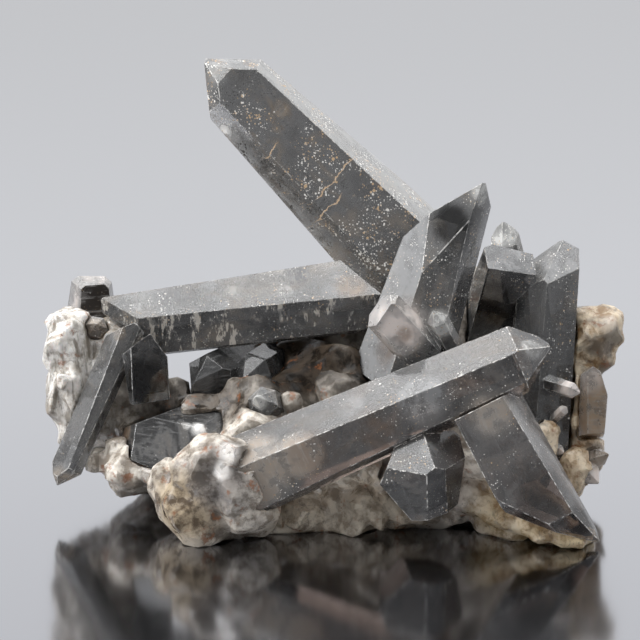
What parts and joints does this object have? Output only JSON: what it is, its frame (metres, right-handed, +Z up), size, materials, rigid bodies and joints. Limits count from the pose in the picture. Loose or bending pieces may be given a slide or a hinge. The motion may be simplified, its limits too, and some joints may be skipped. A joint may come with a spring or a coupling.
{
  "type": "morion quartz cluster",
  "caption": "Cluster of dark smoky quartz crystals, crossing and leaning, grown on a loose piece of pale rough rock; rests on its flat underside.",
  "frame": {"origin": "centre of the object's outline on the surface that it rests on", "axes": "+Z up, -Y towards the side that shows the most crystals, +X to the right seen from there"},
  "size_m": [0.1007, 0.06, 0.0738],
  "materials": {
    "matrix": "rough granular, cream to tan, iron-stained in places",
    "smoky_quartz": "glassy, dark smoky brown to black, hazy and dusted in places",
    "tan_quartz": "cloudy tan, stained by iron",
    "pale_quartz": "glassy, pale, faintly pinkish"
  },
  "bodies": {
    "root": {"matrix_rock": "matrix", "tall_leaning_crystal": "smoky_quartz", "left_lying_crystal": "smoky_quartz", "front_crystals": "smoky_quartz", "central_crystals": "smoky_quartz", "right_crystals": "smoky_quartz", "left_crystals": "smoky_quartz", "far_left_crystals": "smoky_quartz", "mid_left_crystal": "smoky_quartz", "small_gem_crystal": "pale_quartz", "under_left_crystals": "smoky_quartz", "tan_right_crystal": "tan_quartz", "lower_right_crystals": "tan_quartz"}
  },
  "joints": []
}
